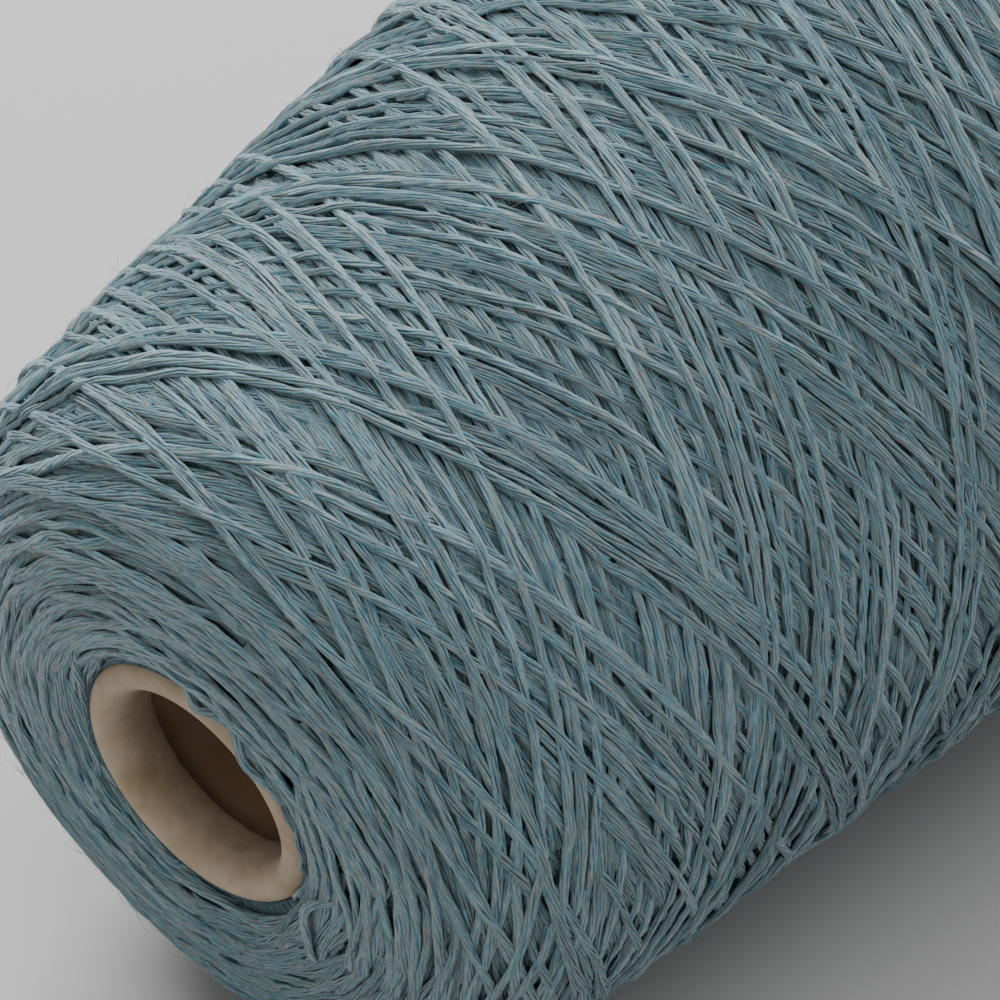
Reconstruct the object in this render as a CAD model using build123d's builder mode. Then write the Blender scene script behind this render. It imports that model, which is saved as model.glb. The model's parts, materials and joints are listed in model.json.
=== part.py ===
"""A cone of knitting yarn lying on its side: a tapered paper cone and the yarn cross-wound on it.

Units are millimetres and degrees. +Z is up and z = 0 is the table. The package touches the table
along its side, and that line runs along Y: the nose, the narrow end, is at -Y and the base at +Y.
The origin is on the table, below the middle of the package. Sections are drawn in (s, r), on the
plane through the cone's axis that leans across the package: s runs along the axis from the crest of
the nose towards the base, and r is the distance from it.
"""

import os
from math import cos, radians, sin, tan

from build123d import *

# Paper cone
taper = 5.95  # half-angle: 5 degrees 57 minutes
cone_length = 170.0  # crest of the nose to the base edge
nose_radius = 17.0  # the outer taper, carried on to the plane of the nose crest
wall = 3.1  # the wound paper
lip_radius = 2.25  # the rolled lip of the nose
throat_land = 2.0  # straight stretch of the throat, left by the tool that turns the nose in
turn_in_depth = 7.8  # crest to the inner end of the turned-in paper
turn_in_flare = 0.7  # how far the turned-in paper widens from the throat to that end
base_edge = 0.5  # rounding of the cut base edge

# Yarn winding
winding_radius = 47.4  # the winding's side, carried on to the plane of the nose crest
nose_proud = 0.5  # the winding's nose face stands this far beyond the crest of the paper
nose_shoulder = 22.0  # the wide rounding of the nose end
paper_bared = 15.0  # the paper shows for this far at the base end
base_shoulder = 9.0  # rounding of the base end
dip_depth = 2.0  # the yarn drops this far from its faces where it meets the paper
dip_width = 3.5
dip_round = 3.0
bedding = 0.1  # the winding is drawn this far clear of the paper it beds on
settle = 0.4  # the soft side is flattened this much where it lies on the table

along = cos(radians(taper))
slope = tan(radians(taper))
tilt = sin(radians(taper))


def paper_outer(s):
    """Outer radius of the paper cone."""
    return nose_radius + s * slope


def paper_inner(s):
    """Inner radius of the paper cone behind the turned-in nose."""
    return paper_outer(s) - wall / along


def winding_side(s):
    """Outer radius of the winding."""
    return winding_radius + s * slope


def winding_bore(s):
    """Inner radius of the winding, just clear of the paper."""
    return paper_outer(s) + bedding


def shoulder_that_fits(radius, face, corner):
    """The rounding between a face of the winding and its side, limited by the depth of the yarn."""
    flat = winding_side(face) - winding_bore(face) - dip_width - dip_round
    return min(radius, flat * tan(radians(corner / 2)))


# The side's lowest line is level, because the axis leans by the taper, and the table flattens it
# by the settle. The top of the nose shoulder reaches furthest forward, the base edge furthest back.
lip_centre = nose_radius + lip_radius * (slope - 1 / along)
nose_rounding = shoulder_that_fits(nose_shoulder, -nose_proud, corner=90 + taper)
shoulder_s = nose_rounding - nose_proud
shoulder_r = winding_side(shoulder_s) - nose_rounding / along
furthest_forward = shoulder_s * along - shoulder_r * tilt - nose_rounding
furthest_back = cone_length * along + paper_outer(cone_length) * tilt
crest_centre = (0, -(furthest_forward + furthest_back) / 2, winding_radius * along - settle)

axis_direction = (0, along, tilt)
cone_axis = Axis(crest_centre, axis_direction)
section = Plane(origin=crest_centre, x_dir=axis_direction, z_dir=(0, tilt, -along))


def build_paper_cone():
    """The wound paper cone, its nose rolled inwards to a rounded lip."""
    throat = lip_centre - lip_radius
    lip_start = (lip_radius * (1 - tilt), lip_centre + lip_radius * along)
    with BuildPart() as cone:
        with BuildSketch(section):
            with BuildLine():
                Polyline(
                    lip_start,
                    (cone_length, paper_outer(cone_length)),
                    (cone_length, paper_inner(cone_length)),
                    (turn_in_depth, paper_inner(turn_in_depth)),
                    (turn_in_depth, throat + turn_in_flare),
                    (lip_radius + throat_land, throat),
                    (lip_radius, throat),
                )
                ThreePointArc((lip_radius, throat), (0, lip_centre), lip_start)
            make_face()
        revolve(axis=cone_axis)
        base_rim = cone.faces().sort_by(cone_axis)[-1]
        fillet(base_rim.edges(), base_edge)
    cone.part.label = "paper_cone"
    return cone.part


def build_yarn_winding():
    """The outer shape of the wound yarn, as one closed solid, flat where it lies on the table."""
    nose_face = -nose_proud
    nose_bed = nose_face + dip_depth
    base_face = cone_length - paper_bared
    base_bed = base_face - dip_depth
    base_rounding = shoulder_that_fits(base_shoulder, base_face, corner=90 - taper)
    outline = {
        (nose_bed, winding_bore(nose_bed)): 0,
        (nose_face, winding_bore(nose_face) + dip_width): dip_round,
        (nose_face, winding_side(nose_face)): nose_rounding,
        (base_face, winding_side(base_face)): base_rounding,
        (base_face, winding_bore(base_face) + dip_width): dip_round,
        (base_bed, winding_bore(base_bed)): 0,
    }
    with BuildPart() as winding:
        with BuildSketch(section):
            with BuildLine():
                FilletPolyline(*outline, radius=outline.values(), close=True)
            make_face()
        revolve(axis=cone_axis)
        split(bisect_by=Plane.XY, keep=Keep.TOP)
    winding.part.label = "yarn_winding"
    return winding.part


os.makedirs("parts", exist_ok=True)
for piece in (build_paper_cone(), build_yarn_winding()):
    export_step(piece, f"parts/{piece.label}.step")
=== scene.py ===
"""A cone of knitting yarn lying on its side: heathered yarn cross-wound on a tapered paper cone.

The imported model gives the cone's axis, its crest and the outline of the winding. Lengths here are
millimetres until a mesh is made. The winding is laid as on a winding machine, strand by strand: each
strand has a course over the outline, and rests on the strands laid before it.
"""

import json

import bpy
import numpy as np
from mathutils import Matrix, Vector


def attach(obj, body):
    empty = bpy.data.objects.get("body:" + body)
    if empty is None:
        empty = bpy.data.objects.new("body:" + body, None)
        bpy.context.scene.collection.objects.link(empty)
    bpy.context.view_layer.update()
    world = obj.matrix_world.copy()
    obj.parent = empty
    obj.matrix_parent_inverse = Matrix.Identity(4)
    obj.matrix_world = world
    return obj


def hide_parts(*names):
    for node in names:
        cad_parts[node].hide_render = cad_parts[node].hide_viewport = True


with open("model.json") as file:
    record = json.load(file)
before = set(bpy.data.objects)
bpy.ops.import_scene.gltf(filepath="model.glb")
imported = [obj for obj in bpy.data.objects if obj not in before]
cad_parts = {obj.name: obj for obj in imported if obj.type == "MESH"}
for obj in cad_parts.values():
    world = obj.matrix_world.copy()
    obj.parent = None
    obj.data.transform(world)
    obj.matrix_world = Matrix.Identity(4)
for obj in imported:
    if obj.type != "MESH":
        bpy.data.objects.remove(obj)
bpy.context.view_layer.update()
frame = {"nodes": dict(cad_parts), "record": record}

MM = 0.001

# Winding outline, as it is drawn in the model
nose_shoulder = 22.0
base_shoulder = 9.0
dip_depth = 2.0
dip_width = 3.5
dip_round = 3.0

# Nose of the paper cone, as it is drawn in the model
lip_radius = 2.25
turn_in_depth = 7.8
turn_in_flare = 0.7
wall = 3.1
bedding = 0.1

# Yarn
strand_half_width = 0.64
strand_height = 0.95
crown_share = 0.72  # strands sink into each other, so each adds this share of its height
sag = 0.35  # how far a strand may dip between the strands that carry it
tuck_depth = 1.6  # how far the ends of a strand slip in among the others
ends_in_strand = 6
sides_of_end = 3
end_radius = 0.265
ply_rate = 0.3  # radians of ply for each millimetre of strand
wind_angle = 18.5  # degrees between a strand and the circumference
course_step = 0.4  # between the points of a course

# How it is wound
nose_turns_reach = 13.0  # along the axis, from the nose face
base_turns_reach = 6.0  # along the side, from the base shoulder
golden_share = 0.381966  # of a whole turn, so that no two groups start side by side
nose_layer_step = 1.1  # between the full turns of the even layer
base_layer_step = 1.2
nose_turn_count = 270
base_turn_count = 200
even_courses = 66
course_groups = 78
neighbour_step = 1.36  # between the strands of a group
stray_fibre_count = 8000

draw = np.random.default_rng(20)


# ---------------------------------------------------------------- the package's own coordinates

mounts = {mount["name"]: mount for mount in frame["record"]["mounts"]}
axis = np.array(mounts["nose_throat"]["axis"])
axis /= np.linalg.norm(axis)
across = np.array([1.0, 0.0, 0.0])
upward = np.cross(across, axis)
slope = axis[2] / axis[1]
throat = np.array(mounts["nose_throat"]["pos_m"]) / MM


def along_and_out(node, start):
    """(s, r) of a node's vertices: along the axis from start, and out from the axis."""
    points = np.array([vertex.co for vertex in frame["nodes"][node].data.vertices]) / MM - start
    along = points @ axis
    return along, np.linalg.norm(points - np.outer(along, axis), axis=1)


crest = throat + axis * along_and_out("paper_cone", throat)[0].min()
yarn_s, yarn_r = along_and_out("yarn_winding", crest)
side_radius = (yarn_r - yarn_s * slope).max()
bore_radius = (yarn_r - yarn_s * slope).min()
nose_face, base_face = yarn_s.min(), yarn_s.max()
paper_end = along_and_out("paper_cone", crest)[0].max()
lip_centre = bore_radius - bedding + lip_radius * (slope - np.hypot(1, slope))
lip_radius_out = lip_centre + lip_radius


def place(s, r, turn):
    """Points in space, in millimetres, from (s, r) and the angle round the axis in radians."""
    s, r, turn = np.broadcast_arrays(s, r, turn)
    radial = np.cos(turn)[..., None] * across + np.sin(turn)[..., None] * upward
    return crest + s[..., None] * axis + r[..., None] * radial


def rounded_outline(corners, step):
    """A polyline of (s, r) with its corners rounded by their own radii, in even steps."""
    points = [np.array(corner[:2]) for corner in corners]
    path = [points[0]]
    for before, corner, after, (_, _, radius) in zip(points, points[1:], points[2:], corners[1:]):
        back = (before - corner) / np.linalg.norm(before - corner)
        ahead = (after - corner) / np.linalg.norm(after - corner)
        half = np.arccos(back @ ahead) / 2
        bisector = (back + ahead) / np.linalg.norm(back + ahead)
        centre = corner + bisector * radius / np.sin(half)
        first = corner + back * radius / np.tan(half) - centre
        last = corner + ahead * radius / np.tan(half) - centre
        sweep = np.pi - 2 * half
        for share in np.linspace(0, 1, max(3, int(sweep * radius / step))):
            point = np.sin((1 - share) * sweep) * first + np.sin(share * sweep) * last
            path.append(centre + point / np.sin(sweep))
    path.append(points[-1])
    path = np.array(path)
    length = np.r_[0, np.cumsum(np.linalg.norm(np.diff(path, axis=0), axis=1))]
    even = np.linspace(0, length[-1], int(length[-1] / step))
    return even, np.c_[np.interp(even, length, path[:, 0]), np.interp(even, length, path[:, 1])]


def side_at(s):
    return side_radius + s * slope


def bore_at(s):
    return bore_radius + s * slope


outline_length, outline = rounded_outline(
    [
        (nose_face + dip_depth, bore_at(nose_face + dip_depth), 0),
        (nose_face, bore_at(nose_face) + dip_width, dip_round),
        (nose_face, side_at(nose_face), nose_shoulder),
        (base_face, side_at(base_face), base_shoulder),
        (base_face, bore_at(base_face) + dip_width, dip_round),
        (base_face - dip_depth, bore_at(base_face - dip_depth), 0),
    ],
    step=0.25,
)
outline_direction = np.gradient(outline, axis=0)
outline_direction /= np.linalg.norm(outline_direction, axis=1)[:, None]
outline_normal = np.c_[-outline_direction[:, 1], outline_direction[:, 0]]
whole = outline_length[-1]


def on_outline(lay):
    """(s, r) and the outward normal at arc length lay of the outline, counted from the nose."""
    columns = (*outline.T, *outline_normal.T)
    return [np.interp(lay, outline_length, column) for column in columns]


def lay_at_side(s):
    """Arc length of the outline where its side reaches s."""
    outer = outline[:, 1] > side_radius * 0.8
    return np.interp(s, outline[outer, 0], outline_length[outer])


# ---------------------------------------------------------------- courses of the strands


def wander(length, wavelength, amount):
    """A smooth random drift along a course."""
    knots = np.arange(0, length[-1] + 4 * wavelength, wavelength)
    values = draw.normal(0, 1, len(knots))
    reach = (length / wavelength) % 1
    index = (length // wavelength).astype(int)
    ease = reach * reach * (3 - 2 * reach)
    return amount * (values[index] * (1 - ease) + values[index + 1] * ease)


def side_course(apex_turn, apex_lay, base_lay, angle, nose_bend, base_bend):
    """Out from the base end to a turn at the nose and back: (lay, turn) of the course."""
    rise = np.tan(np.radians(angle))
    half = (base_lay - apex_lay + nose_bend + base_bend) / rise
    tail = base_bend / rise * 2
    run = np.arange(0, half + tail, course_step)
    nose = apex_lay - nose_bend + np.hypot(run * rise, nose_bend)
    base = base_lay + base_bend - np.hypot((half - run) * rise, base_bend)
    lay = np.where(run < half / 2, nose, base)
    radius = on_outline(lay)[1]
    turn = np.cumsum(course_step / radius)
    lay = np.r_[lay[::-1], lay[1:]]
    turn = np.r_[-turn[::-1], turn[1:]] + apex_turn
    return lay, turn


def end_course(middle_turn, middle_lay, sweep, lift, sway, sway_length):
    """A turn at an end of the package, which climbs towards the side at both its ends."""
    radius = on_outline(middle_lay)[1]
    run = np.arange(-sweep, sweep, course_step / radius)
    lay = middle_lay + lift * (run / sweep) ** 2
    lay = lay + wander((run + sweep) * radius, sway_length, sway)
    return np.clip(lay, 0.3, whole - 0.3), middle_turn + run


# ---------------------------------------------------------------- laying the strands on each other

cell_height = 0.3
rows = int(whole / cell_height)
columns = 1024
build_up = np.zeros((rows, columns), np.float32)
across_strand = np.linspace(-1, 1, 7)


def smooth(values, reach):
    """A Gaussian mean over about that many millimetres of the course."""
    spread = reach / course_step
    half = int(3 * spread)
    weights = np.exp(-0.5 * (np.arange(-half, half + 1) / spread) ** 2)
    padded = np.r_[[values[0]] * half, values, [values[-1]] * half]
    return np.convolve(padded, weights / weights.sum(), "valid")


def highest(values, reach):
    """The highest value within that many millimetres of each point of the course."""
    half = max(1, int(reach / course_step))
    padded = np.r_[[values[0]] * half, values, [values[-1]] * half]
    return np.lib.stride_tricks.sliding_window_view(padded, 2 * half + 1).max(1)


def lay_strand(lay, turn, tuck=6.0):
    """Lays one strand on what is there: its course, its height, and the cells its top covers.

    The ends of the strand slip in over the length tuck.
    """
    radius = on_outline(lay)[1]
    forward = np.gradient(turn) * radius
    sideways = np.gradient(lay)
    size = np.hypot(forward, sideways)
    offset = across_strand * strand_half_width
    rows_under = lay[:, None] + offset * (forward / size)[:, None]
    turns_under = turn[:, None] - offset * (sideways / size / radius)[:, None]
    row = np.clip(rows_under / whole * rows, 0, rows - 1).astype(int)
    column = (turns_under / (2 * np.pi) * columns).astype(int) % columns
    under = build_up[row, column]
    rest = 0.5 * under.max(1) + 0.5 * under.mean(1)
    height = smooth(highest(rest, 0.5), 0.9)
    height = np.maximum(height, smooth(height, 4.0) - sag)
    length = np.cumsum(size)
    from_end = np.minimum(length - length[0], length[-1] - length)
    height = height - tuck_depth * np.clip(1 - from_end / tuck, 0, 1) ** 1.5
    crown = strand_height * crown_share * np.sqrt(1 - 0.9 * across_strand**2)
    top = height[:, None] + crown
    np.maximum.at(build_up, (row, column), top)
    return lay, turn, height, (row, column), top


strands = {"nose_turns": [], "side_courses": [], "base_turns": []}


def lay_full_turn(end, lay):
    """One whole turn of the even layer under the turns that show."""
    middle = draw.uniform(0, 2 * np.pi)
    strands[end].append(lay_strand(*end_course(middle, lay, np.pi, 0.8, 0.25, 8.0), tuck=3.0))


def wind_nose_end():
    """The turns that show on the nose face and its shoulder, laid from the paper outwards."""
    reach = lay_at_side(nose_turns_reach)
    for lay in np.arange(1.2, reach, nose_layer_step):
        lay_full_turn("nose_turns", lay)
    for middle in np.linspace(0.5, reach, nose_turn_count):
        near_paper = np.clip(1 - middle / 8, 0, 1)
        sweep = draw.uniform(0.35, 1.0)
        lift = draw.uniform(1.0, 5.0) * (1 - 0.6 * near_paper)
        sway = 0.3 + 0.35 * near_paper
        sway_length = 6.0 - 2 * near_paper
        middle_turn = draw.uniform(0, 2 * np.pi)
        course = end_course(middle_turn, middle, sweep, lift, sway, sway_length)
        strands["nose_turns"].append(lay_strand(*course, tuck=5.0))


def wind_base_end():
    """The turns of the base end, laid from the paper outwards."""
    last = lay_at_side(base_face - base_shoulder) - base_turns_reach
    for lay in np.arange(whole - base_layer_step, last, -base_layer_step):
        lay_full_turn("base_turns", lay)
    for middle in np.linspace(whole - 0.5, last, base_turn_count):
        middle_turn = draw.uniform(0, 2 * np.pi)
        sweep = draw.uniform(0.3, 0.9)
        lift = -draw.uniform(1, 4)
        course = end_course(middle_turn, middle, sweep, lift, 0.3, 8.0)
        strands["base_turns"].append(lay_strand(*course, tuck=5.0))


def lay_side_course(apex_turn, apex, base, angle):
    """One course on the side, which wanders a little as it goes."""
    nose_bend = draw.uniform(3.0, 6.0)
    base_bend = draw.uniform(2.0, 4.0)
    lay, turn = side_course(apex_turn, apex, base, angle, nose_bend, base_bend)
    length = np.arange(len(lay)) * course_step
    drift = wander(length, 26.0, 0.5) + wander(length, 9.0, 0.14) + wander(length, 3.5, 0.07)
    strands["side_courses"].append(lay_strand(lay + drift, turn))


def wind_side():
    """An even layer, then groups of neighbouring courses, each from the base to the nose and back."""
    base_edge = lay_at_side(base_face - base_shoulder)
    for course in range(even_courses):
        turn = (course + draw.uniform(-0.2, 0.2)) * 2 * np.pi / even_courses
        apex = lay_at_side(draw.uniform(3.0, 10.0))
        base = base_edge + draw.uniform(-3.0, 6.0)
        lay_side_course(turn, apex, base, wind_angle + draw.normal(0, 0.3))
    golden = 2 * np.pi * golden_share
    for group in range(course_groups):
        group_turn = group * golden + draw.normal(0, 0.12)
        angle = wind_angle + draw.normal(0, 1.1)
        apex = lay_at_side(draw.uniform(3.0, 14.0))
        base = base_edge + draw.uniform(-4.0, 6.0)
        spacing = neighbour_step / np.sin(np.radians(angle)) / on_outline(apex)[1]
        for member in range(draw.choice([1, 1, 1, 2, 2, 3])):
            lay_side_course(
                group_turn + member * spacing * draw.uniform(0.9, 1.3),
                apex + draw.normal(0, 0.8),
                base + draw.normal(0, 1.0),
                angle + draw.normal(0, 0.18),
            )


wind_nose_end()
wind_base_end()
wind_side()


def blurred(field, reach):
    """A Gaussian mean of a field that goes round the axis; the reach is in cells."""
    padding = 3 * reach
    wide = np.pad(field, ((padding, padding), (0, 0)), mode="edge")
    spectrum = np.fft.rfft2(wide)
    down = np.exp(-2 * (np.pi * reach * np.fft.fftfreq(wide.shape[0])) ** 2)
    round_axis = np.exp(-2 * (np.pi * reach * np.fft.rfftfreq(wide.shape[1])) ** 2)
    return np.fft.irfft2(spectrum * down[:, None] * round_axis, wide.shape)[padding:-padding]


settled_reach = 9  # in cells
settled = blurred(build_up, settled_reach)


# ---------------------------------------------------------------- node trees


class Term:
    """A socket of a node tree. Arithmetic on it adds Math nodes."""

    def __init__(self, board, socket):
        self.board = board
        self.socket = socket

    def maths(self, operation, *values):
        return self.board.node("ShaderNodeMath", {"operation": operation}, dict(enumerate(values)))

    def __add__(self, other):
        return self.maths("ADD", self, other)

    def __sub__(self, other):
        return self.maths("SUBTRACT", self, other)

    def __rsub__(self, other):
        return self.maths("SUBTRACT", other, self)

    def __mul__(self, other):
        return self.maths("MULTIPLY", self, other)

    def __truediv__(self, other):
        return self.maths("DIVIDE", self, other)

    def __rtruediv__(self, other):
        return self.maths("DIVIDE", other, self)

    __radd__ = __add__
    __rmul__ = __mul__


class Board:
    """One node tree, and the way to add nodes to it."""

    def __init__(self, tree):
        self.tree = tree

    def node(self, kind, settings=(), inputs=(), output=0):
        """Adds a node: its settings first, then the values or links of its sockets."""
        node = self.tree.nodes.new(kind)
        for name, value in dict(settings).items():
            if name == "stops":
                self.set_stops(node.color_ramp, value)
            else:
                setattr(node, name, value)
        for name, value in dict(inputs).items():
            socket = self.find(node.inputs, name)
            if isinstance(value, Term):
                self.tree.links.new(value.socket, socket)
            else:
                socket.default_value = value
        return Term(self, self.find(node.outputs, output)) if node.outputs else None

    def find(self, sockets, name):
        if isinstance(name, int):
            return sockets[name]
        return next(socket for socket in sockets if socket.name == name and socket.enabled)

    def set_stops(self, ramp, stops):
        while len(ramp.elements) < len(stops):
            ramp.elements.new(0.5)
        for element, (position, colour) in zip(ramp.elements, stops):
            element.position = position
            element.color = (*colour, 1)

    def other(self, term, output):
        """Another output of the node that a term comes from."""
        return Term(self, self.find(term.socket.node.outputs, output))

    def attribute(self, name, kind="FLOAT"):
        """A named attribute, in a geometry tree."""
        settings = {"data_type": kind}
        inputs = {"Name": name}
        return self.node("GeometryNodeInputNamedAttribute", settings, inputs, "Attribute")

    def vector(self, operation, *values):
        settings = {"operation": operation}
        return self.node("ShaderNodeVectorMath", settings, dict(enumerate(values)), "Vector")

    def scaled(self, vector, factor):
        inputs = {"Vector": vector, "Scale": factor}
        return self.node("ShaderNodeVectorMath", {"operation": "SCALE"}, inputs, "Vector")

    def triple(self, x=0.0, y=0.0, z=0.0):
        return self.node("ShaderNodeCombineXYZ", (), {"X": x, "Y": y, "Z": z})


def plied_yarn_tree():
    """Turns lines into strands of loosely plied fine ends, which drift about their strand."""
    tree = bpy.data.node_groups.new("plied_yarn", "GeometryNodeTree")
    sockets = [
        ("Lines", "NodeSocketGeometry", None),
        ("Ends", "NodeSocketInt", 4),
        ("End Radius", "NodeSocketFloat", 0.0002),
        ("Half Width", "NodeSocketFloat", 0.0004),
        ("Half Height", "NodeSocketFloat", 0.0002),
        ("Drift", "NodeSocketFloat", 0.0001),
        ("Slub", "NodeSocketFloat", 0.2),
        ("Sides", "NodeSocketInt", 5),
        ("Seed", "NodeSocketFloat", 0.0),
        ("Material", "NodeSocketMaterial", None),
    ]
    for name, kind, value in sockets:
        socket = tree.interface.new_socket(name, in_out="INPUT", socket_type=kind)
        if value is not None:
            socket.default_value = value
    tree.interface.new_socket("Yarn", in_out="OUTPUT", socket_type="NodeSocketGeometry")
    board = Board(tree)
    given = board.node("NodeGroupInput")
    value = {name: board.other(given, name) for name, _, _ in sockets}

    curve = board.node("GeometryNodeMeshToCurve", (), {"Mesh": value["Lines"]})
    copies = board.node(
        "GeometryNodeDuplicateElements",
        {"domain": "SPLINE"},
        {"Geometry": curve, "Amount": value["Ends"]},
        "Geometry",
    )
    end = board.other(copies, "Duplicate Index")
    outward = board.attribute("outward", "FLOAT_VECTOR")
    along = board.attribute("along")
    tangent = board.node("GeometryNodeInputTangent")
    sideways = board.vector("NORMALIZE", board.vector("CROSS_PRODUCT", tangent, outward))
    turn = board.attribute("ply_turn") + end / value["Ends"] * (2 * np.pi)
    strand = board.attribute("strand")
    place_in_noise = board.triple(along * 0.24, end * 3.7 + value["Seed"], strand * 50.0)
    inputs = {"Vector": place_in_noise, "Scale": 1.0, "Detail": 1.0}
    noise = board.node("ShaderNodeTexNoise", (), inputs, "Color")
    drift = board.node("ShaderNodeSeparateXYZ", (), {"Vector": noise}, "X")
    slub = board.other(drift, "Y")
    stray = value["Drift"] * (drift - 0.5) * 4.0
    breadth = value["Half Width"] * turn.maths("COSINE", turn) + stray
    rise = value["Half Height"] * turn.maths("SINE", turn)
    offset = board.vector("ADD", board.scaled(sideways, breadth), board.scaled(outward, rise))
    moved = board.node("GeometryNodeSetPosition", (), {"Geometry": copies, "Offset": offset})
    marked = board.node(
        "GeometryNodeStoreNamedAttribute",
        {"data_type": "FLOAT", "domain": "POINT"},
        {"Geometry": moved, "Name": "end", "Value": end},
    )
    thick = board.node(
        "GeometryNodeSetCurveRadius",
        (),
        {"Curve": marked, "Radius": 1.0 + (slub - 0.5) * value["Slub"] * 4.0},
    )
    circle = board.node(
        "GeometryNodeCurvePrimitiveCircle",
        (),
        {"Resolution": value["Sides"], "Radius": value["End Radius"]},
    )
    ring = board.scaled(board.node("GeometryNodeInputPosition"), 1.0 / value["End Radius"])
    section = board.node(
        "GeometryNodeStoreNamedAttribute",
        {"data_type": "FLOAT_VECTOR", "domain": "POINT"},
        {"Geometry": circle, "Name": "ring", "Value": ring},
    )
    swept = board.node(
        "GeometryNodeCurveToMesh",
        (),
        {"Curve": thick, "Profile Curve": section, "Fill Caps": True},
    )
    real = board.node("GeometryNodeRealizeInstances", (), {"Geometry": swept})
    finished = board.node(
        "GeometryNodeSetMaterial", (), {"Geometry": real, "Material": value["Material"]}
    )
    board.node("NodeGroupOutput", (), {"Yarn": finished})
    return tree


def make_with_nodes(name, source, tree, inputs):
    """A plain mesh object from what a geometry tree makes of a source mesh."""
    piece = bpy.data.objects.new(name, source)
    bpy.context.scene.collection.objects.link(piece)
    modifier = piece.modifiers.new(name, "NODES")
    modifier.node_group = tree
    for item in tree.interface.items_tree:
        if item.in_out == "INPUT" and item.name in inputs:
            modifier[item.identifier] = inputs[item.name]
    evaluated = piece.evaluated_get(bpy.context.evaluated_depsgraph_get())
    mesh = bpy.data.meshes.new_from_object(evaluated)
    piece.modifiers.remove(modifier)
    piece.data = mesh
    mesh.name = name
    return piece


# ---------------------------------------------------------------- strands as lines in space

flatness = 0.04  # how far a line may stray from its course
longest_step = 2.9
shortest_step = 0.9
relief_share = 0.66  # the share of the laid relief that is left once the yarn has settled
deepest = 0.85  # the most that a strand may lie below the even surface
proud = 0.45  # a strand that rises more than this is pressed in
pressed_share = 0.35
crest_drop = 0.35  # from the outline down to the even surface
fewest_points = 8  # a shorter uncovered part isn't made


def thin_out(points, *others):
    """Fewer points where the course is straighter, with the other columns at the same places."""
    first = np.gradient(points, course_step, axis=0)
    bend = np.linalg.norm(np.gradient(first, course_step, axis=0), axis=1)
    bend = np.maximum(smooth(bend, 0.6), 1e-4)
    step = np.clip(np.sqrt(8 * flatness / bend), shortest_step, longest_step)
    count = np.cumsum(course_step / step)
    whole_steps = np.arange(len(count))
    even_counts = np.linspace(count[0], count[-1], max(3, int(count[-1])))
    picks = np.interp(even_counts, count, whole_steps)
    return [
        np.stack([np.interp(picks, whole_steps, column) for column in values.T], 1)
        for values in (points, *others)
    ]


def yarn_points(s, r, normal_s, normal_r, turn):
    """(points, outward directions, (length, ply turn)) of a strand along a course in space."""
    points = place(s, r, turn)
    points[:, 2] = np.maximum(points[:, 2], strand_height / 2 + 0.05)
    outward = place(s + normal_s, r + normal_r, turn) - place(s, r, turn)
    steps = np.linalg.norm(np.diff(points, axis=0), axis=1)
    length = np.r_[0, np.cumsum(steps)]
    ply = length * ply_rate + wander(length, 15.0, 0.7) + draw.uniform(0, 2 * np.pi)
    return points, outward, np.c_[length, ply]


def strand_lines(lay, turn, height, cells, top):
    """The parts of a laid strand that later strands leave uncovered."""
    s, r, normal_s, normal_r = on_outline(lay)
    open_cells = (build_up[cells] - top < 0.15).sum(1)
    seen = highest((open_cells >= 2).astype(float), 1.4) > 0
    middle = (cells[0][:, 3], cells[1][:, 3])
    level = (height + strand_height / 2 - settled[middle]) * relief_share
    level = np.where(level > proud, proud + pressed_share * (level - proud), level)
    level = np.maximum(level, -deepest) - crest_drop
    columns_of = yarn_points(s + normal_s * level, r + normal_r * level, normal_s, normal_r, turn)
    edges = np.flatnonzero(np.diff(np.r_[0, seen, 0]))
    for start, stop in zip(edges[::2], edges[1::2]):
        if stop - start > fewest_points:
            yield thin_out(*[values[start:stop] for values in columns_of])


def lay_collar(middle_turn, sweep, lip_angle):
    """A kinked strand lying on the outer side of the paper lip, its ends slipping behind it."""
    run = np.arange(-sweep, sweep, course_step / lip_radius_out)
    length = (run + sweep) * lip_radius_out
    angle = np.radians(lip_angle) + wander(length, 4.5, 0.16) + wander(length, 2.0, 0.07)
    angle = angle + 1.1 * np.abs(run / sweep) ** 5
    reach = lip_radius + strand_height * 0.42 + wander(length, 4.0, 0.08)
    s = lip_radius - reach * np.cos(angle)
    r = lip_centre + reach * np.sin(angle)
    return thin_out(*yarn_points(s, r, -np.cos(angle), np.sin(angle), middle_turn + run))


def lay_loop(knots):
    """A slack loop that stands out of the nose face, through knots of (s, r, degrees round)."""
    knots = np.array(knots, float)
    steps = np.linspace(0, len(knots) - 1, 60)
    s, r, turn = (smooth(np.interp(steps, np.arange(len(knots)), column), 1.1) for column in knots.T)
    ones = np.ones_like(s)
    return thin_out(*yarn_points(s, r, -ones, 0 * ones, np.radians(turn)))


def collar_and_loop():
    """The last slack turns, which the winding leaves over one side of the paper lip."""
    lines = []
    for lip_angle in (104, 92, 84, 76):
        for middle in np.linspace(-0.1, 1.7, 3):
            middle_turn = middle + draw.uniform(-0.2, 0.2)
            lines.append(lay_collar(middle_turn, draw.uniform(0.6, 0.95), lip_angle))
    for lip_angle in (66, 58, 50, 44):
        middle = draw.uniform(0.5, 1.0)
        lines.append(lay_collar(middle, draw.uniform(0.55, 0.95), lip_angle))
    lines.append(
        lay_loop(
            [
                (0.6, 24.5, -6),
                (-0.9, 21.6, -10),
                (-1.7, 19.7, -16),
                (-1.9, 20.2, -24),
                (-1.8, 21.9, -31),
                (-1.5, 23.5, -38),
                (-0.5, 25.0, -42),
                (0.9, 26.2, -40),
            ]
        )
    )
    return lines


hair_steps = 4


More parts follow.
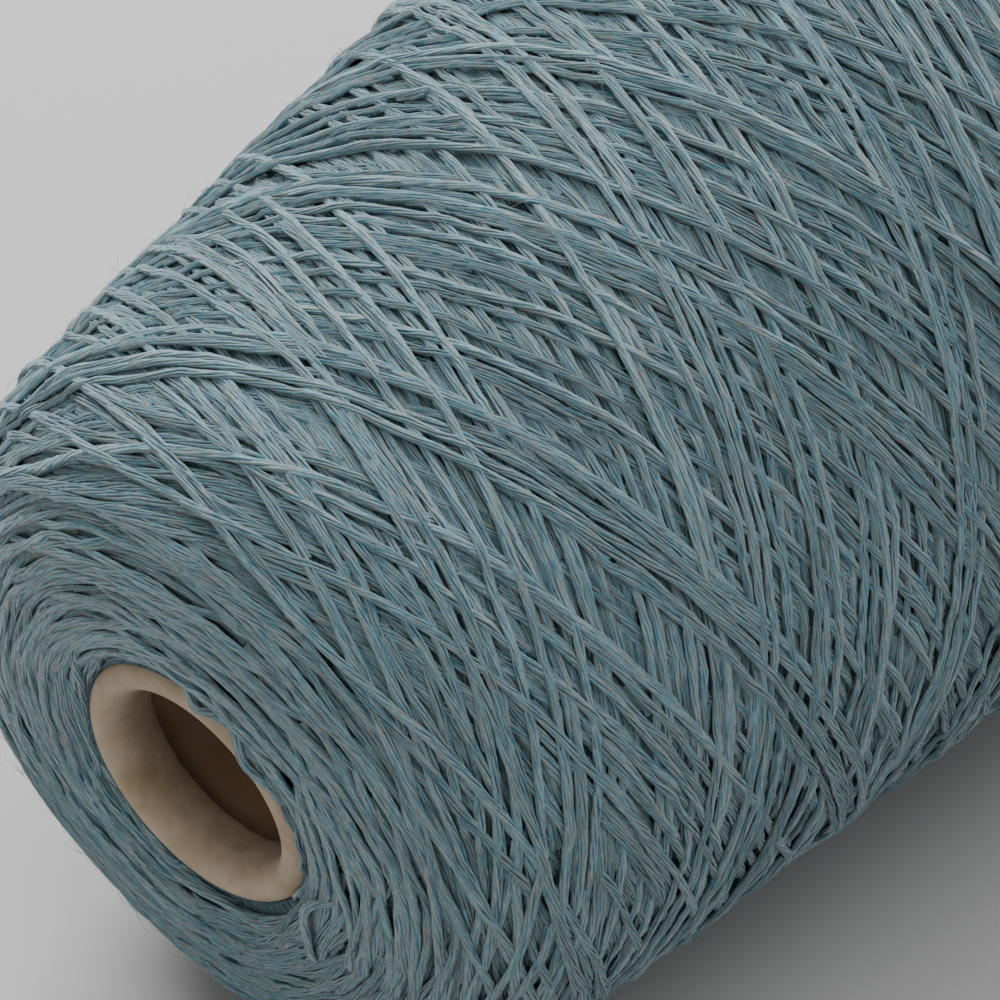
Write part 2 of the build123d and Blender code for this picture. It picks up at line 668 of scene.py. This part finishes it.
def stray_fibres(lines, count):
    """Short fibres that lift out of the strands."""
    points, outward = (np.concatenate(values) for values in list(zip(*lines))[:2])
    tangent = np.gradient(points, axis=0)
    chosen = draw.choice(len(points), count)
    start, lift, run = points[chosen], outward[chosen], tangent[chosen]
    run = run / np.linalg.norm(run, axis=1)[:, None] * draw.choice([-1, 1], count)[:, None]
    side = np.cross(run, lift)
    start = start + side * draw.uniform(-0.5, 0.5, count)[:, None] + lift * 0.25
    length = draw.uniform(1.2, 4.5, count)[:, None]
    rise = draw.uniform(0.05, 0.42, count)[:, None] * length
    sway = draw.normal(0, 0.3, count)[:, None] * length
    hairs = []
    for share in np.linspace(0, 1, hair_steps):
        bend = side * sway * share**2 + lift * rise * np.sin(share * 2.2)
        hairs.append(start + run * length * share + bend)
    hairs = np.stack(hairs, 1)
    hairs[..., 2] = np.maximum(hairs[..., 2], 0.1)
    share = np.linspace(0, 1, hair_steps)
    return [
        [hair, np.repeat(out[None], hair_steps, 0), np.c_[share * reach, share]]
        for hair, out, reach in zip(hairs, lift, length)
    ]


def line_mesh(name, lines):
    """A mesh of edges only, one chain for each line, with what the yarn tree reads."""
    counts = [len(line[0]) for line in lines]
    points, outward, extra = (np.concatenate(values) for values in zip(*lines))
    index = np.arange(len(points))
    last = np.cumsum(counts) - 1
    starts = np.setdiff1d(index, last)
    mesh = bpy.data.meshes.new(name)
    mesh.vertices.add(len(points))
    mesh.vertices.foreach_set("co", (points * MM).ravel())
    mesh.edges.add(len(starts))
    mesh.edges.foreach_set("vertices", np.c_[starts, starts + 1].ravel())
    directions = mesh.attributes.new("outward", "FLOAT_VECTOR", "POINT")
    directions.data.foreach_set("vector", outward.ravel())
    columns_of = {
        "along": extra[:, 0],
        "ply_turn": extra[:, 1],
        "strand": np.repeat(draw.uniform(0, 1, len(lines)), counts),
    }
    for attribute, values in columns_of.items():
        mesh.attributes.new(attribute, "FLOAT", "POINT").data.foreach_set("value", values)
    return mesh


triangles_in_piece = 195000
yarn_tree = plied_yarn_tree()


def make_strands(name, lines, material, **changes):
    """Pieces of yarn from lines, each within the size that a piece may have."""
    most_points = triangles_in_piece / (changes.get("Ends", ends_in_strand) * sides_of_end * 2)
    batches = [[]]
    size = 0
    for line in lines:
        size += len(line[0])
        if size > most_points:
            batches.append([])
            size = len(line[0])
        batches[-1].append(line)
    for number, batch in enumerate(batches, 1):
        label = f"{name}_{number}"
        inputs = {
            "Ends": ends_in_strand,
            "End Radius": end_radius * MM,
            "Half Width": (strand_half_width - end_radius) * MM,
            "Half Height": (strand_height / 2 - end_radius) * MM,
            "Drift": 0.13 * MM,
            "Slub": 0.5,
            "Sides": sides_of_end,
            "Seed": float(number),
            "Material": material,
        }
        inputs.update(changes)
        piece = make_with_nodes(label, line_mesh(label, batch), yarn_tree, inputs)
        piece.data.shade_smooth()
        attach(piece, "root")
        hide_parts("yarn_winding")


# ---------------------------------------------------------------- materials


def new_material(name):
    material = bpy.data.materials.new(name)
    material.use_nodes = True
    material.node_tree.nodes.clear()
    return material, Board(material.node_tree)


def linear(*colour):
    """A colour given in 0 to 255 as the screen shows it, as the renderer counts it."""
    share = np.array(colour) / 255
    return tuple(np.where(share <= 0.04045, share / 12.92, ((share + 0.055) / 1.055) ** 2.4))


def colour_mix(board, factor, first, second, blend="MIX"):
    first = first if isinstance(first, Term) else (*first, 1)
    second = second if isinstance(second, Term) else (*second, 1)
    settings = {"data_type": "RGBA", "blend_type": blend}
    return board.node("ShaderNodeMix", settings, {0: factor, 6: first, 7: second}, 2)


def heathered_yarn():
    """Teal and grey fibres blended in every fine end, with a few brown and pale ones."""
    material, board = new_material("heathered_yarn")

    def read(name, output="Fac"):
        return board.node("ShaderNodeAttribute", {"attribute_name": name}, (), output)

    along, end, strand = read("along"), read("end"), read("strand")
    ring = board.node("ShaderNodeSeparateXYZ", (), {"Vector": read("ring", "Vector")}, "X")
    ring_x, ring_y = ring, board.other(ring, "Y")

    def fibre_noise(pitch, across_scale, shift, detail=2.0):
        """Noise drawn out along the end: pitch is cycles per millimetre of length."""
        vector = board.triple(
            along * pitch + strand * 91.0,
            ring_x * across_scale + end * 5.3 + shift,
            ring_y * across_scale + strand * 37.0,
        )
        inputs = {"Vector": vector, "Scale": 1.0, "Detail": detail, "Roughness": 0.55}
        return board.node("ShaderNodeTexNoise", (), inputs, "Fac")

    blend = fibre_noise(0.34, 1.4, 0.0, 3.0)
    base = board.node(
        "ShaderNodeValToRGB",
        {
            "stops": [
                (0.30, linear(26, 84, 102)),
                (0.40, linear(70, 145, 164)),
                (0.48, linear(128, 166, 175)),
                (0.54, linear(162, 180, 185)),
                (0.61, linear(114, 176, 191)),
                (0.70, linear(52, 142, 168)),
            ]
        },
        {"Fac": blend},
        "Color",
    )
    brown = fibre_noise(0.40, 1.6, 11.0)
    brown_mask = board.node(
        "ShaderNodeMapRange", (), {"Value": brown, "From Min": 0.55, "From Max": 0.63}, "Result"
    )
    colour = colour_mix(board, brown_mask * 0.8, base, linear(166, 150, 140))
    streak = fibre_noise(1.0, 3.0, 23.0)
    shade = board.node(
        "ShaderNodeMapRange",
        (),
        {"Value": streak, "From Min": 0.3, "From Max": 0.7, "To Min": 0.70, "To Max": 1.24},
        "Result",
    )
    tone = shade * (0.71 + 0.14 * strand)
    grey = board.node("ShaderNodeCombineColor", (), {"Red": tone, "Green": tone, "Blue": tone})
    colour = colour_mix(board, 1.0, colour, grey, "MULTIPLY")
    relief = fibre_noise(0.6, 4.0, 5.0, 3.0)
    inputs = {"Strength": 0.7, "Distance": 0.12 * MM, "Height": relief}
    bump = board.node("ShaderNodeBump", (), inputs)
    shader = board.node(
        "ShaderNodeBsdfPrincipled",
        (),
        {
            "Base Color": colour,
            "Roughness": 0.85,
            "Specular IOR Level": 0.25,
            "Sheen Weight": 0.35,
            "Sheen Roughness": 0.5,
            "Normal": bump,
        },
    )
    board.node("ShaderNodeOutputMaterial", (), {"Surface": shader})
    return material


def wound_paper():
    """Tan paper board: mottled, with fine fibres, with glue stains about the turned-in nose, and with
    painted shade that darkens the bore.
    """
    material, board = new_material("wound_paper")
    where = board.scaled(board.node("ShaderNodeTexCoord", (), (), "Object"), 1 / MM)
    depth = board.node("ShaderNodeAttribute", {"attribute_name": "from_nose"}, (), "Fac")

    def noise(pitch, detail, shift):
        """Noise of about that many cycles in a millimetre."""
        moved = board.vector("ADD", where, (shift, 0.0, -shift))
        inputs = {"Vector": moved, "Scale": pitch, "Detail": detail, "Roughness": 0.6}
        return board.node("ShaderNodeTexNoise", (), inputs, "Fac")

    def between(value, low, high):
        settings = {"interpolation_type": "SMOOTHSTEP"}
        inputs = {"Value": value, "From Min": low, "From Max": high}
        return board.node("ShaderNodeMapRange", settings, inputs, "Result")

    mottle = noise(0.22, 4.0, 0.0)
    base = board.node(
        "ShaderNodeValToRGB",
        {
            "stops": [
                (0.30, linear(158, 141, 118)),
                (0.50, linear(170, 153, 131)),
                (0.66, linear(178, 162, 141)),
            ]
        },
        {"Fac": mottle},
        "Color",
    )
    nose_band = 1.0 - between(depth, 6.5, 9.5)
    stain = between(noise(0.14, 2.0, 31.0), 0.50, 0.74) * nose_band
    colour = colour_mix(board, stain * 0.55, base, linear(136, 112, 74))
    fleck = between(noise(3.2, 3.0, 12.0), 0.60, 0.74)
    colour = colour_mix(board, fleck * 0.35, colour, linear(104, 80, 56))
    # painted shade: the bore is coloured darker brown from about 6 mm inside the nose, fading out
    # towards the base end
    painted_bore_shade = between(depth, 6.0, 12.0) * (1.0 - between(depth, 60.0, 160.0))
    colour = colour_mix(board, painted_bore_shade * 0.6, colour, linear(144, 108, 76))
    relief = noise(1.1, 5.0, 5.0) + 0.6 * noise(4.5, 3.0, 9.0)
    inputs = {"Strength": 0.6, "Distance": 0.15 * MM, "Height": relief}
    bump = board.node("ShaderNodeBump", (), inputs)
    shader = board.node(
        "ShaderNodeBsdfPrincipled",
        (),
        {"Base Color": colour, "Roughness": 0.82, "Specular IOR Level": 0.3, "Normal": bump},
    )
    board.node("ShaderNodeOutputMaterial", (), {"Surface": shader})
    return material


def packed_yarn():
    """The bed under the modelled strands: the same yarn, lying one way, seen only between them."""
    material, board = new_material("packed_yarn")
    lay = board.node("ShaderNodeUVMap", {"uv_map": "lay"}, (), "UV")
    length = board.node("ShaderNodeSeparateXYZ", (), {"Vector": lay}, "X")
    breadth = board.other(length, "Y")
    noise = board.node(
        "ShaderNodeTexNoise",
        (),
        {"Vector": board.triple(length * 0.12, breadth * 1.6), "Scale": 1.0, "Detail": 3.0},
        "Fac",
    )
    base = board.node(
        "ShaderNodeValToRGB",
        {
            "stops": [
                (0.3, linear(66, 108, 120)),
                (0.5, linear(104, 134, 142)),
                (0.7, linear(136, 146, 146)),
            ]
        },
        {"Fac": noise},
        "Color",
    )
    fine = breadth * (np.pi / 0.42) + noise * 3.0
    coarse = breadth * (np.pi / 1.35) + noise * 1.5
    relief = fine.maths("ABSOLUTE", fine.maths("SINE", fine)) * 0.35
    relief = relief + coarse.maths("ABSOLUTE", coarse.maths("SINE", coarse))
    inputs = {"Strength": 1.0, "Distance": 0.6 * MM, "Height": relief}
    bump = board.node("ShaderNodeBump", (), inputs)
    shader = board.node(
        "ShaderNodeBsdfPrincipled", (), {"Base Color": base, "Roughness": 0.9, "Normal": bump}
    )
    board.node("ShaderNodeOutputMaterial", (), {"Surface": shader})
    return material


# ---------------------------------------------------------------- pieces

yarn_material = heathered_yarn()
all_lines = []
for name, laid in strands.items():
    lines = [line for strand in laid for line in strand_lines(*strand)]
    if name == "nose_turns":
        lines += collar_and_loop()
    all_lines += lines
    make_strands(name, lines, yarn_material)
single_fibre = {
    "Ends": 1,
    "End Radius": 0.022 * MM,
    "Half Width": 0.0,
    "Half Height": 0.0,
    "Drift": 0.0,
    "Slub": 0.0,
}
fibres = stray_fibres(all_lines, stray_fibre_count)
make_strands("stray_fibres", fibres, yarn_material, **single_fibre)


bed_depth = 1.15
bed_depth_at_base = 0.8
bed_middle_radius = 52.0  # where the run of the bed's yarn is measured


def loft_round(name, points):
    """A closed mesh from rings of points (section point, place round the axis, xyz)."""
    rings, around = points.shape[:2]
    ring, column = np.meshgrid(np.arange(rings), np.arange(around), indexing="ij")

    def corner(down, onward):
        return (ring + down) % rings * around + (column + onward) % around

    faces = np.stack([corner(0, 0), corner(0, 1), corner(1, 1), corner(1, 0)], -1)
    mesh = bpy.data.meshes.new(name)
    mesh.from_pydata((points.reshape(-1, 3) * MM).tolist(), [], faces.reshape(-1, 4).tolist())
    mesh.shade_smooth()
    return mesh, ring, column


def add_object(name, mesh):
    piece = bpy.data.objects.new(name, mesh)
    bpy.context.scene.collection.objects.link(piece)
    return piece


def make_bed():
    """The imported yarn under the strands, closed against the paper."""
    lays = np.linspace(0, whole, 160)
    s, r, normal_s, normal_r = on_outline(lays)
    base_edge = lay_at_side(base_face - base_shoulder)
    depth = np.interp(lays, [base_edge - 8.0, base_edge], [bed_depth, bed_depth_at_base])
    outer = np.c_[s - normal_s * depth, r - normal_r * depth]
    keep = outer[:, 1] > bore_at(outer[:, 0]) + 0.3
    outer = outer[keep]
    inner_s = outer[::-8, 0]
    loop = np.r_[outer, np.c_[inner_s, bore_at(inner_s)]]
    around = 160
    turns = np.arange(around) * 2 * np.pi / around
    points = place(loop[:, 0][:, None], loop[:, 1][:, None], turns[None])
    points[..., 2] = np.maximum(points[..., 2], 0.05)
    mesh, ring, column = loft_round("packed_bed", points)
    lay_of = np.r_[lays[keep], np.zeros(len(inner_s))]
    corner_ring = np.stack([ring, ring, ring + 1, ring + 1], -1).reshape(-1) % len(loop)
    corner_column = np.stack([column, column + 1, column + 1, column], -1).reshape(-1)
    run = corner_column * 2 * np.pi / around * bed_middle_radius
    climb = lay_of[corner_ring]
    rise = np.radians(wind_angle)
    with_yarn = run * np.cos(rise) + climb * np.sin(rise)
    across_yarn = climb * np.cos(rise) - run * np.sin(rise)
    uv = mesh.uv_layers.new(name="lay")
    uv.data.foreach_set("uv", np.c_[with_yarn, across_yarn].ravel())
    mesh.materials.append(packed_yarn())
    return add_object("packed_bed", mesh)


bed = make_bed()
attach(bed, "root")
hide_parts("yarn_winding")


def waves_round(turns, fewest, most):
    """A smooth random value round the axis, made of waves between two counts, about 1 high."""
    counts = np.arange(fewest, most)[:, None]
    phases = draw.uniform(0, 2 * np.pi, counts.shape)
    weights = draw.normal(0, 1, counts.shape)
    waves = (weights * np.cos(counts * turns + phases)).sum(0)
    return waves / np.abs(waves).max()


def eased(value):
    value = np.clip(value, 0, 1)
    return value * value * (3 - 2 * value)


def paper_section():
    """The closed section of the paper as (s, r), and how much each point is creased."""
    inner_lip = 3.6  # the lip eases into the throat over this depth
    throat = lip_centre - lip_radius
    outer_angle = np.radians(90) - np.arctan(slope)
    section = []
    for angle in np.linspace(outer_angle, 0, 14, endpoint=False):
        section.append((lip_radius * (1 - np.cos(angle)), lip_centre + lip_radius * np.sin(angle)))
    for angle in np.linspace(0, np.pi / 2, 18):
        section.append((inner_lip * (1 - np.cos(angle)), lip_centre - lip_radius * np.sin(angle)))
    for share in np.linspace(0, 1, 14)[1:]:
        depth = inner_lip + share * (turn_in_depth - inner_lip - 0.2)
        section.append((depth, throat + turn_in_flare * share**2))
    section.append((turn_in_depth, throat + turn_in_flare + 0.25))
    thickness = wall * np.hypot(1, slope)

    def outside(s):
        return bore_at(s) - bedding

    def inside(s):
        return outside(s) - thickness

    section.append((turn_in_depth + 0.1, inside(turn_in_depth) - 0.2))
    for s in np.linspace(turn_in_depth + 0.3, paper_end - 0.5, 60):
        section.append((s, inside(s)))
    section.append((paper_end - 0.15, inside(paper_end) + 0.15))
    section.append((paper_end, inside(paper_end) + 0.5))
    section.append((paper_end, outside(paper_end) - 0.5))
    section.append((paper_end - 0.15, outside(paper_end) - 0.15))
    for s in np.linspace(paper_end - 0.5, 3.0, 70):
        section.append((s, outside(s)))
    return np.array(section)


def make_paper():
    """The paper cone: its nose turned in and a little creased, its wound wall slightly uneven."""
    around = 240
    turns = np.arange(around) * 2 * np.pi / around
    section = paper_section()
    s, r = section.T[:, :, None] + np.zeros((1, 1, around))
    inner = (np.arange(len(section)) > 14) & (section[:, 0] < turn_in_depth + 0.05)
    inner &= section[:, 1] < lip_centre
    creased = eased((section[:, 0] - 0.6) / 3.0) * inner
    creases = waves_round(turns, 9, 46) * 0.11 + waves_round(turns, 40, 90) * 0.04
    r = r + creased[:, None] * (creases - 0.05)
    edge = eased((section[:, 0] - 5.5) / 2.0) * inner
    s = s + edge[:, None] * waves_round(turns, 4, 30) * 0.15
    near_nose = np.exp(-section[:, 0] / 5.0)[:, None]
    r = r + near_nose * waves_round(turns, 2, 6) * 0.12
    mesh = loft_round("paper_cone_wall", place(s, r, turns[None]))[0]
    depth = np.repeat(section[:, 0], around)
    mesh.attributes.new("from_nose", "FLOAT", "POINT").data.foreach_set("value", depth)
    mesh.materials.append(wound_paper())
    return add_object("paper_cone_wall", mesh)


paper = make_paper()
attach(paper, "root")
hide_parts("paper_cone")


# ---------------------------------------------------------------- floor, light and camera


def make_floor():
    """A plain pale table top, very slightly clouded and grained."""
    size = 4.0
    mesh = bpy.data.meshes.new("floor")
    corners = [(-size, -size, 0), (size, -size, 0), (size, size, 0), (-size, size, 0)]
    mesh.from_pydata(corners, [], [(0, 1, 2, 3)])
    material, board = new_material("pale_floor")
    where = board.node("ShaderNodeTexCoord", (), (), "Object")
    inputs = {"Vector": where, "Scale": 6.0, "Detail": 3.0}
    cloud = board.node("ShaderNodeTexNoise", (), inputs, "Fac")
    inputs = {"Vector": where, "Scale": 900.0, "Detail": 2.0}
    grain = board.node("ShaderNodeTexNoise", (), inputs, "Fac")
    colour = colour_mix(board, cloud, (0.485, 0.476, 0.474), (0.52, 0.51, 0.508))
    inputs = {"Strength": 0.15, "Distance": 0.1 * MM, "Height": grain}
    bump = board.node("ShaderNodeBump", (), inputs)
    shader = board.node(
        "ShaderNodeBsdfPrincipled", (), {"Base Color": colour, "Roughness": 0.75, "Normal": bump}
    )
    board.node("ShaderNodeOutputMaterial", (), {"Surface": shader})
    mesh.materials.append(material)
    return add_object("floor", mesh)


def add_light(name, position, size, power, colour=(1.0, 1.0, 1.0)):
    light = bpy.data.lights.new(name, "AREA")
    light.shape = "DISK"
    light.size = size
    light.energy = power
    light.color = colour
    lamp = bpy.data.objects.new(name, light)
    lamp.location = position
    aim = Vector(middle_of_package) - Vector(position)
    lamp.rotation_euler = aim.to_track_quat("-Z", "Y").to_euler()
    bpy.context.scene.collection.objects.link(lamp)


def set_daylight(strength):
    world = bpy.data.worlds.new("soft_room")
    world.use_nodes = True
    world.node_tree.nodes["Background"].inputs["Color"].default_value = (1, 1, 1, 1)
    world.node_tree.nodes["Background"].inputs["Strength"].default_value = strength
    bpy.context.scene.world = world


def set_camera():
    """A long lens, looking down on the nose from the front right."""
    lens = bpy.data.cameras.new("camera")
    lens.sensor_width = 36
    lens.lens = 210.4
    lens.clip_start = 0.01
    lens.clip_end = 50
    camera = bpy.data.objects.new("camera", lens)
    camera.location = (crest + np.array([351.1, -339.7, 464.4])) * MM
    bearing, dip = np.radians(41.76), np.radians(40.79)
    aim = Vector((-np.cos(dip) * np.sin(bearing), np.cos(dip) * np.cos(bearing), -np.sin(dip)))
    camera.rotation_euler = aim.to_track_quat("-Z", "Y").to_euler()
    bpy.context.scene.collection.objects.link(camera)
    bpy.context.scene.camera = camera


make_floor()
middle_of_package = (0.0, 0.0, 0.05)
add_light("window", (-1.4, 0.6, 1.3), 1.4, 62)
add_light("skylight", (0.0, 0.3, 2.1), 3.0, 37, (0.98, 0.99, 1.0))
add_light("right_wall", (1.6, 0.2, 1.0), 1.6, 5, (0.93, 0.98, 1.0))
add_light("front_wall", (0.2, -1.7, 0.9), 1.6, 7, (1.0, 0.93, 0.87))
set_daylight(0.23)
set_camera()
